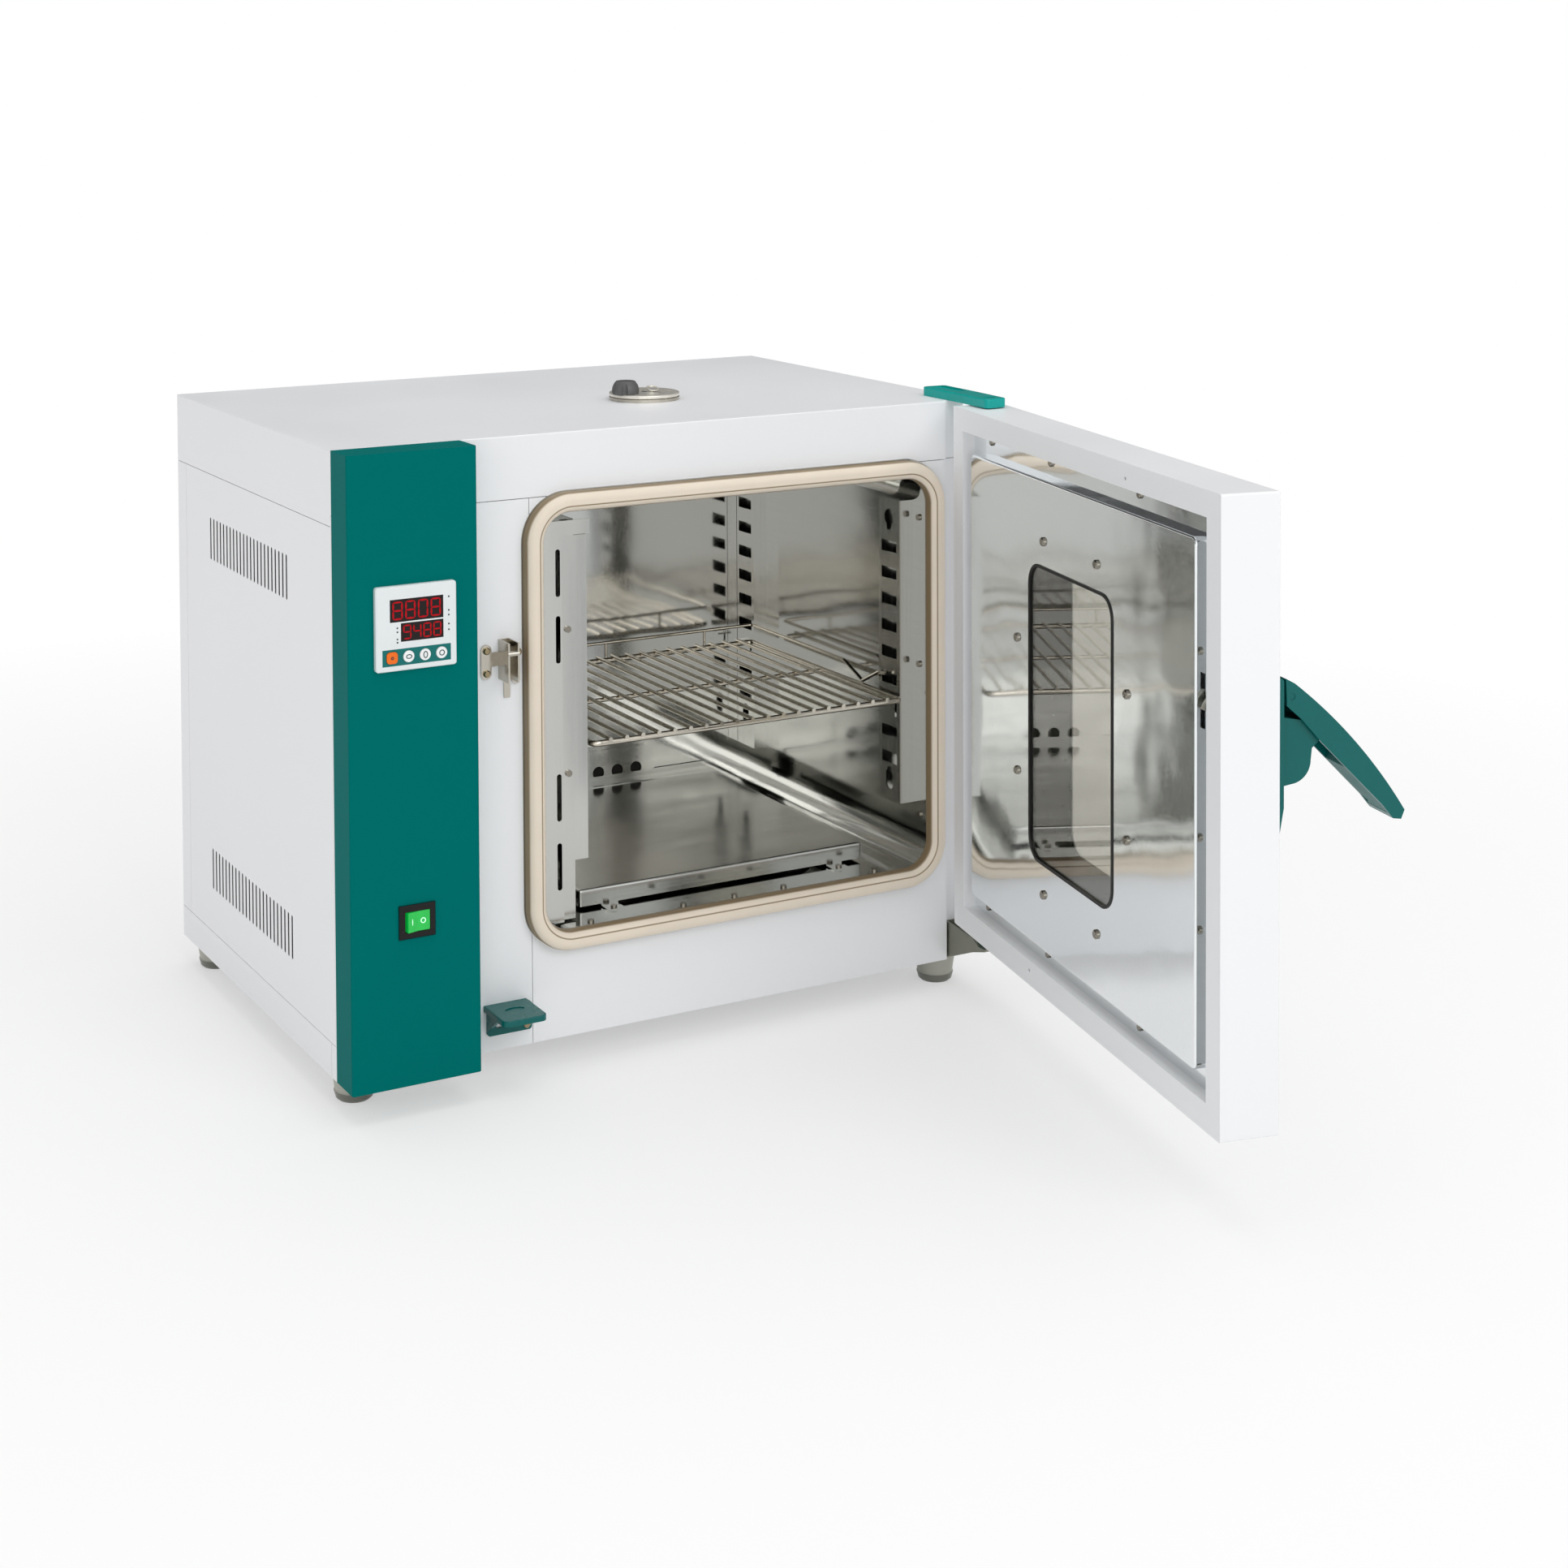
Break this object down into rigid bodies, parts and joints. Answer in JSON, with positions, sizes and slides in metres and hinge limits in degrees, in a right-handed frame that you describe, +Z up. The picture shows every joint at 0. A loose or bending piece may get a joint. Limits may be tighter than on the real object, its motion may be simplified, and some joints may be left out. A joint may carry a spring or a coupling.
{
  "type": "bench drying oven",
  "caption": "Bench drying oven with a hinged windowed door, wire shelf in a steel chamber, control column, top vent and circulation fan.",
  "frame": {"origin": "on the bench plane, below the middle of the casing's plan", "axes": "+X to the viewer's right along the front, +Y from the front to the back, +Z up"},
  "size_m": [0.6749, 0.9923, 0.5814],
  "materials": {
    "white_paint": "satin powder coat",
    "teal_paint": "satin powder coat",
    "teal_plastic": "satin moulded",
    "light_plastic": "satin moulded",
    "grey_plastic": "satin moulded",
    "black_plastic": "satin moulded",
    "knob_plastic": "moulded",
    "display_red": "dark red window",
    "green_rocker": "translucent, lit",
    "orange_key": "satin",
    "white_key": "satin",
    "stainless": "bright rolled",
    "zinc_steel": "zinc plated",
    "screw_steel": "polished",
    "motor_steel": "enamel",
    "grey_steel": "satin grey",
    "heater_sheath": "heat darkened",
    "chrome_wire": "plated",
    "silicone": "matt",
    "mineral_wool": "fibrous",
    "window_glass": "clear"
  },
  "bodies": {
    "cabinet": {"top_cover": "white_paint", "front_fascia": "white_paint", "control_bay_front": "white_paint", "left_side_panel": "white_paint", "right_side_panel": "white_paint", "rear_panel": "white_paint", "base_pan": "white_paint", "control_bay_wall": "zinc_steel", "feet": "grey_plastic", "control_column": "teal_paint", "controller_case": "light_plastic", "display_windows": "display_red", "keypad_strip": "teal_plastic", "switch_housing": "black_plastic", "chamber_liner": "stainless", "chamber_insulation": "mineral_wool", "door_gasket": "silicone", "duct_panel": "stainless", "fan_motor": "motor_steel", "rack_upright_front_left": "stainless", "rack_upright_rear_left": "stainless", "rack_upright_front_right": "stainless", "rack_upright_rear_right": "stainless", "shelf_clips": "stainless", "heater_cover": "stainless", "heater_elements": "heater_sheath", "temperature_probe": "stainless", "vent_collar": "chrome_wire", "strike_plate": "chrome_wire", "hinge_arm": "teal_plastic", "hinge_pins": "zinc_steel", "lower_hinge_bracket": "grey_steel", "lower_hinge_cover": "teal_plastic", "door_rest": "teal_plastic", "casing_screws": "screw_steel", "chamber_screws": "screw_steel", "mains_gland": "black_plastic"},
    "door": {"door_shell": "white_paint", "door_tray": "stainless", "door_insulation": "mineral_wool", "inner_glass": "window_glass", "outer_glass": "window_glass", "window_spacer": "stainless", "tray_screws": "screw_steel", "window_bolts": "screw_steel", "handle_housing": "teal_plastic", "latch_bracket": "zinc_steel"},
    "lever": {"handle_lever": "teal_plastic", "lever_grip": "teal_plastic"},
    "latch": {"latch_hook": "zinc_steel"},
    "key_one": {"key_1": "orange_key"},
    "key_two": {"key_2": "white_key"},
    "key_three": {"key_3": "white_key"},
    "key_four": {"key_4": "white_key"},
    "switch_rocker": {"rocker": "green_rocker"},
    "vent": {"vent_disc": "chrome_wire", "vent_knob": "knob_plastic"},
    "shelf": {"wire_shelf": "chrome_wire", "shelf_guard": "chrome_wire"},
    "fan": {"fan_wheel": "zinc_steel"}
  },
  "joints": [
    {"name": "door_hinge", "type": "hinge", "parent": "cabinet", "child": "door", "pos_m": [0.31, -0.25, 0.316], "axis": [0, 0, 1], "range_deg": [-78, 87]},
    {"name": "lever_pivot", "type": "hinge", "parent": "door", "child": "lever", "pos_m": [0.25247, -0.72747, 0.4], "axis": [-0.2079, -0.9781, 0], "range_deg": [-10, 0]},
    {"name": "hook_pivot", "type": "hinge", "parent": "door", "child": "latch", "pos_m": [0.21667, -0.71792, 0.377], "axis": [0.2079, 0.9781, 0], "range_deg": [-30, 0]},
    {"name": "rocker_tilt", "type": "hinge", "parent": "cabinet", "child": "switch_rocker", "pos_m": [-0.2655, -0.2463, 0.1665], "axis": [0, 0, 1], "range_deg": [-14, 0]},
    {"name": "vent_turn", "type": "hinge", "parent": "cabinet", "child": "vent", "pos_m": [0.055, -0.051, 0.567], "axis": [0, 0, 1], "range_deg": [0, 90]},
    {"name": "shelf_slide", "type": "slide", "parent": "cabinet", "child": "shelf", "axis": [0, -1, 0], "range_m": [0, 0.165]},
    {"name": "fan_spin", "type": "hinge", "parent": "cabinet", "child": "fan", "pos_m": [-0.119, -0.04, 0.295], "axis": [1, 0, 0], "continuous": true},
    {"name": "key_one_press", "type": "slide", "parent": "cabinet", "child": "key_one", "axis": [0, 1, 0], "range_m": [0, 0.0008], "stiffness_N_per_m": 600},
    {"name": "key_two_press", "type": "slide", "parent": "cabinet", "child": "key_two", "axis": [0, 1, 0], "range_m": [0, 0.0008], "stiffness_N_per_m": 600},
    {"name": "key_three_press", "type": "slide", "parent": "cabinet", "child": "key_three", "axis": [0, 1, 0], "range_m": [0, 0.0008], "stiffness_N_per_m": 600},
    {"name": "key_four_press", "type": "slide", "parent": "cabinet", "child": "key_four", "axis": [0, 1, 0], "range_m": [0, 0.0008], "stiffness_N_per_m": 600}
  ],
  "couplings": [
    {"joint": "hook_pivot", "follows": "lever_pivot", "ratio": 3}
  ]
}
